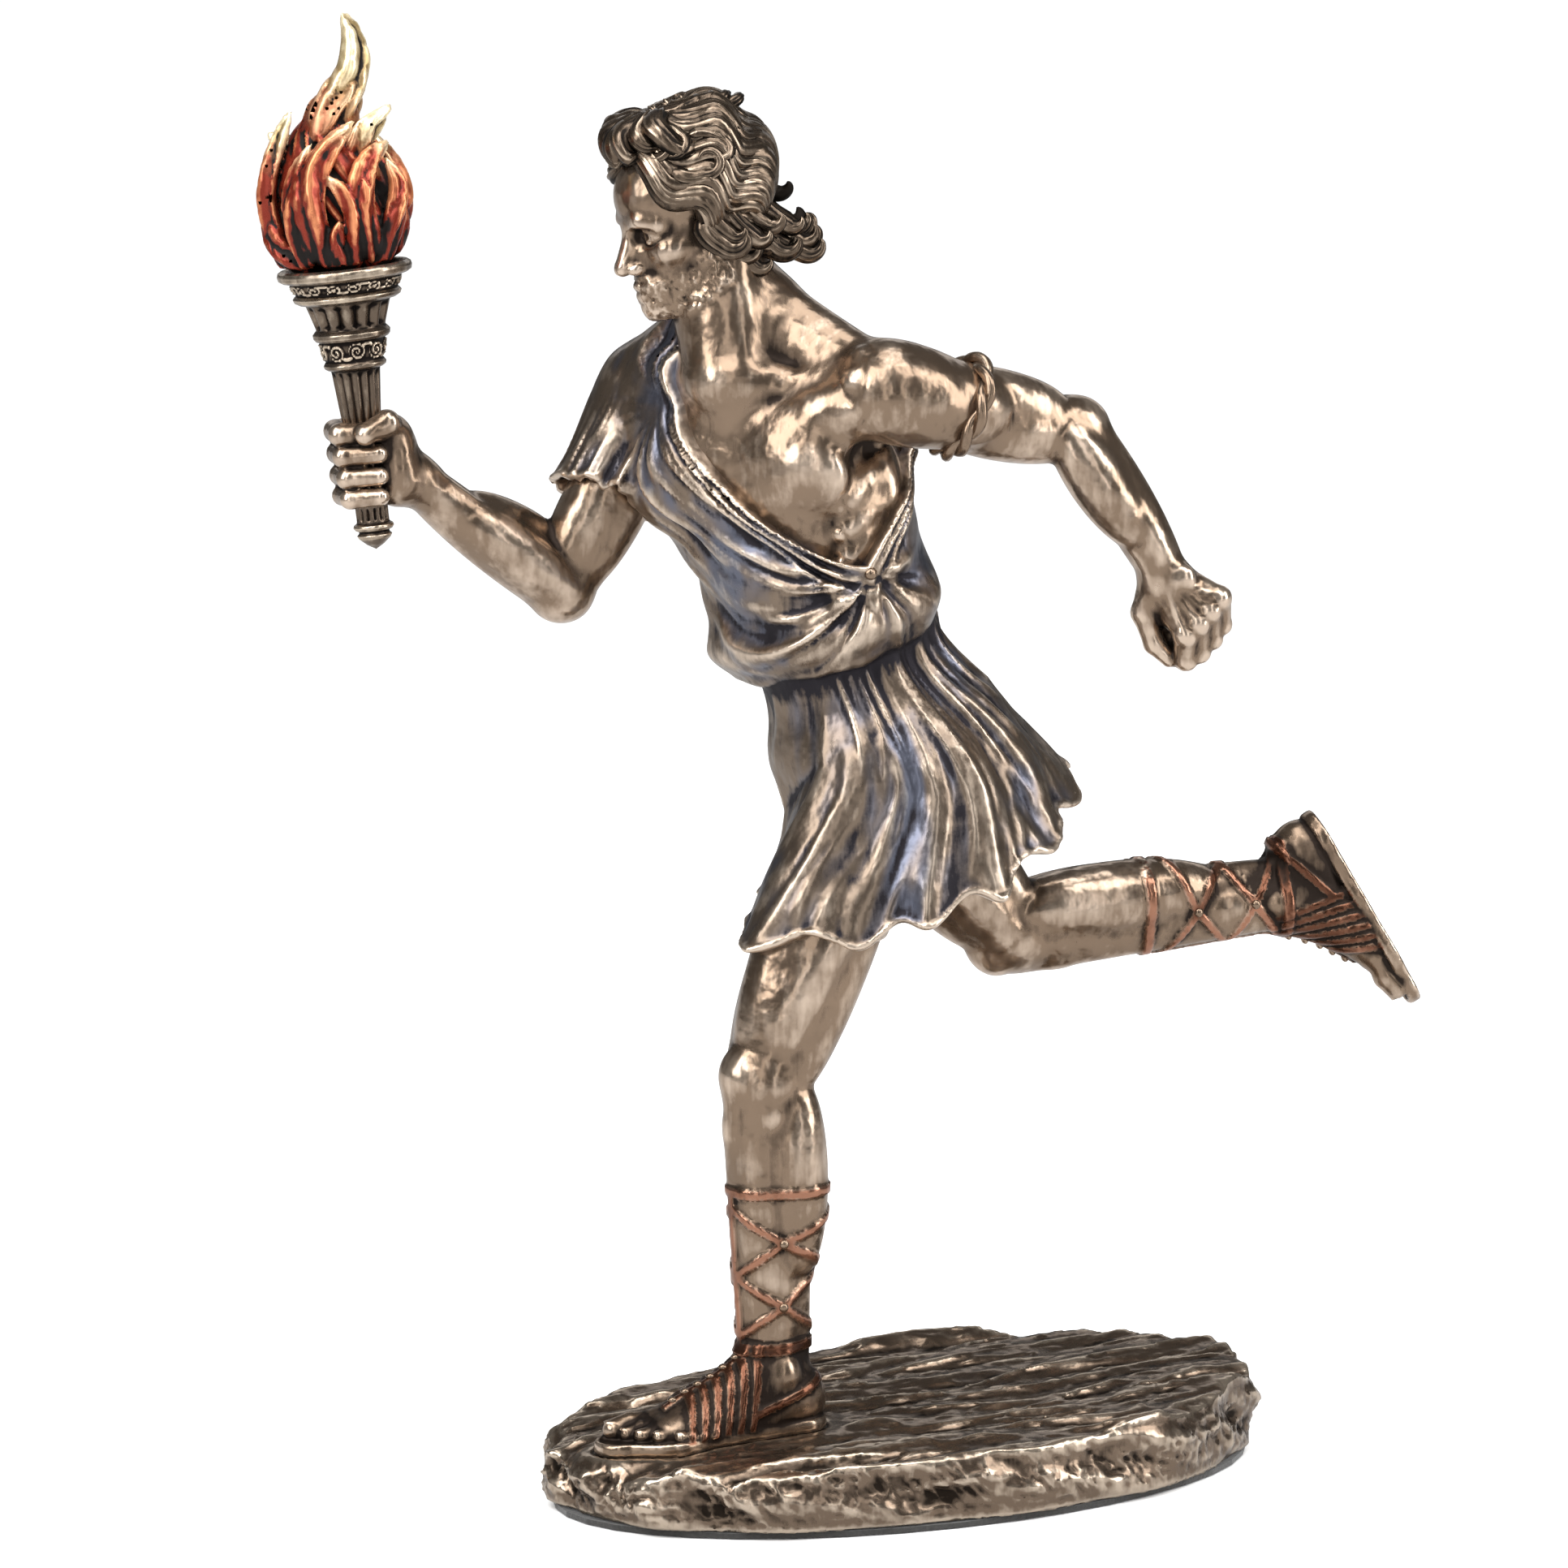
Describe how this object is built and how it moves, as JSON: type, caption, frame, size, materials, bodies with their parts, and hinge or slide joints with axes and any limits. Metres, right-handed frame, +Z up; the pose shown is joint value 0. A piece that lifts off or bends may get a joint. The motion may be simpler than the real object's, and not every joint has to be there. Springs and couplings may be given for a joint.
{
  "type": "running torchbearer statuette",
  "caption": "Small cold-cast statuette of an ancient runner in a short tunic, striding with a raised flaming torch, on an oval rock base.",
  "frame": {"origin": "middle of the oval base, on the felt's underside that the statuette stands on", "axes": "+Z up, +X along the base's length towards the trailing foot, so the runner strides towards -X; -Y is the runner's left side"},
  "size_m": [0.2351, 0.0999, 0.2971],
  "materials": {
    "figure_bronze": "cold-cast bronze, dry-brushed over a dark brown patina",
    "torch_bronze": "cold-cast bronze, dry-brushed over a dark brown patina",
    "flame_red": "metallic copper-red paint with gold tips",
    "base_brown": "dark brown cold-cast rock, semi-gloss",
    "felt": "thin black felt"
  },
  "bodies": {
    "root": {"running_figure": "figure_bronze", "torch": "torch_bronze", "torch_flame": "flame_red", "rock_base": "base_brown", "felt_pad": "felt"}
  },
  "joints": []
}
